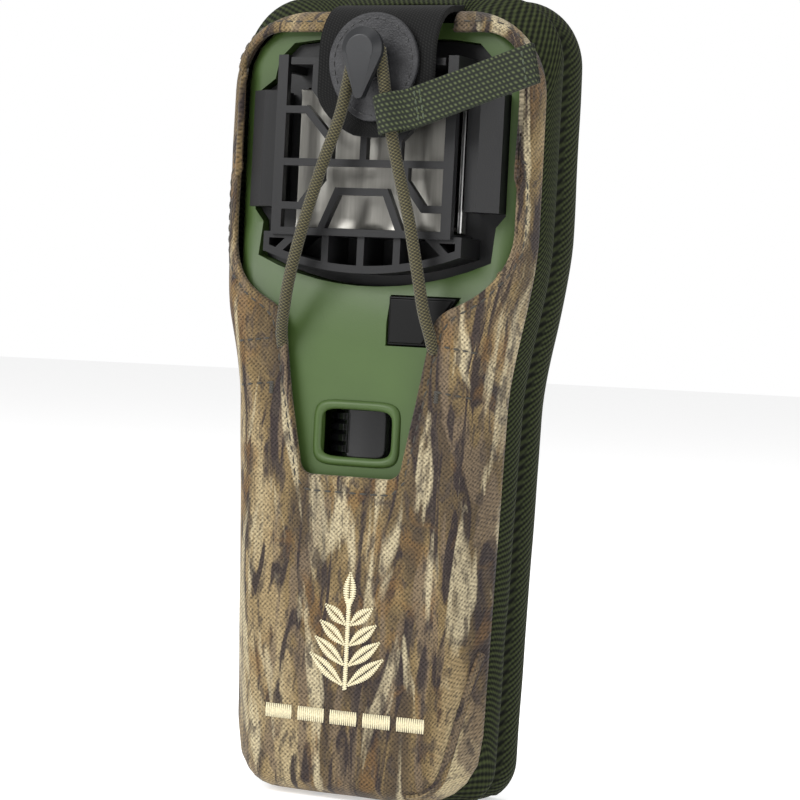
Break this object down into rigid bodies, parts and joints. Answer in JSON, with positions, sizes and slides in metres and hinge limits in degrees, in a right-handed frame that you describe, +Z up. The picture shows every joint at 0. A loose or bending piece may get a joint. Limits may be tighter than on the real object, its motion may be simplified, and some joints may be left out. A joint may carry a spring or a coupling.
{
  "type": "portable insect repeller in a belt holster",
  "caption": "Hand-sized gas-fuelled insect repeller with a caged heat plate, held in a camouflage cloth belt holster by a hooked flap and an elastic cord.",
  "frame": {"origin": "middle of the flat foot it stands on, in the plane midway through the side webbing", "axes": "+Z up, front faces -Y, +X to the viewer's right"},
  "size_m": [0.0942, 0.053, 0.2],
  "materials": {
    "camo_cloth": "coarse woven polyester with a bark pattern",
    "lining_cloth": "thin plain lining",
    "green_webbing": "ribbed woven webbing",
    "green_panel": "padded woven nylon",
    "loop_webbing": "woven webbing",
    "thread_cream": "satin-stitch embroidery",
    "black_webbing": "coated black webbing",
    "black_leather": "grained leather with a cut edge",
    "hook_plastic": "satin moulded acetal",
    "elastic_cord": "braided elastic cord",
    "tab_webbing": "ribbed narrow webbing",
    "green_plastic": "fine-grained moulded housing",
    "guard_plastic": "matt glass-filled nylon",
    "button_plastic": "fine-grained moulding",
    "dial_plastic": "polished black",
    "igniter_plastic": "moulded igniter case",
    "white_plastic": "acetal plunger",
    "black_plastic": "moulded black",
    "plate_metal": "satin pressed sheet",
    "cast_metal": "die-cast, as cast",
    "catalyst": "porous coated sleeve",
    "brass": "turned brass",
    "steel": "plated steel",
    "seal_rubber": "nitrile rubber",
    "ceramic": "glazed ceramic",
    "wire_sleeve": "red insulated wire"
  },
  "bodies": {
    "holster_unit": {"pouch_shell": "camo_cloth", "pouch_lining": "lining_cloth", "gusset_band": "green_webbing", "back_panel": "green_panel", "belt_loop": "loop_webbing", "hem_strip": "camo_cloth", "cord_anchors": "camo_cloth", "emblem": "thread_cream", "flap_root": "black_webbing", "front_housing": "green_plastic", "rear_housing": "green_plastic", "housing_screws": "steel", "heat_guard": "guard_plastic", "heat_plate": "plate_metal", "burner_block": "cast_metal", "catalyst_sleeve": "catalyst", "mixer_tube": "brass", "gas_nozzle": "brass", "gas_tube": "brass", "valve_body": "steel", "valve_seals": "seal_rubber", "detent_spring": "steel", "fuel_cartridge": "steel", "cartridge_collar": "black_plastic", "cartridge_stem": "steel", "cartridge_cradle": "black_plastic", "igniter_body": "igniter_plastic", "igniter_spring": "steel", "igniter_wire": "wire_sleeve", "spark_electrode": "steel", "electrode_insulator": "ceramic", "heat_shield": "plate_metal", "burner_screws": "steel"},
    "start_button": {"start_button": "button_plastic", "igniter_plunger": "white_plastic"},
    "switch_dial": {"switch_dial": "dial_plastic"},
    "valve_poppet": {"valve_poppet": "brass"},
    "closing_flap": {"closure_flap": "black_webbing", "flap_patch": "black_leather", "cord_hook": "hook_plastic", "hook_rivet": "steel"},
    "cord_loop": {"closure_cord": "elastic_cord"},
    "pull_tab": {"pull_tab": "tab_webbing"}
  },
  "joints": [
    {"name": "start_button_press", "type": "slide", "parent": "holster_unit", "child": "start_button", "axis": [0, 1, 0], "range_m": [0, 0.003], "stiffness_N_per_m": 800, "springref_m": -0.001, "deforming": ["igniter_spring"]},
    {"name": "switch_dial_turn", "type": "hinge", "parent": "holster_unit", "child": "switch_dial", "pos_m": [0, -0.0052, 0.091], "axis": [0, 0, 1], "range_deg": [0, 60]},
    {"name": "valve_poppet_lift", "type": "slide", "parent": "holster_unit", "child": "valve_poppet", "axis": [0, 0, 1], "range_m": [0, 0.0008], "stiffness_N_per_m": 0.5, "springref_m": 0.006},
    {"name": "flap_fold", "type": "hinge", "parent": "holster_unit", "child": "closing_flap", "pos_m": [0.0035, -0.0102, 0.1966], "axis": [-1, 0, 0], "range_deg": [0, 104]},
    {"name": "cord_release", "type": "hinge", "parent": "holster_unit", "child": "cord_loop", "pos_m": [0, -0.0226, 0.115], "axis": [1, 0, 0], "range_deg": [0, 100], "deforming": ["closure_cord"]},
    {"name": "pull_tab_swing", "type": "hinge", "parent": "cord_loop", "child": "pull_tab", "pos_m": [0.0099, -0.0293, 0.169], "axis": [-0.2251, 0, 0.9743], "range_deg": [-70, 0]}
  ],
  "couplings": [
    {"joint": "valve_poppet_lift", "follows": "switch_dial_turn", "m_per_rad": 0.00074},
    {"joint": "flap_fold", "follows": "cord_release", "ratio": 1}
  ]
}
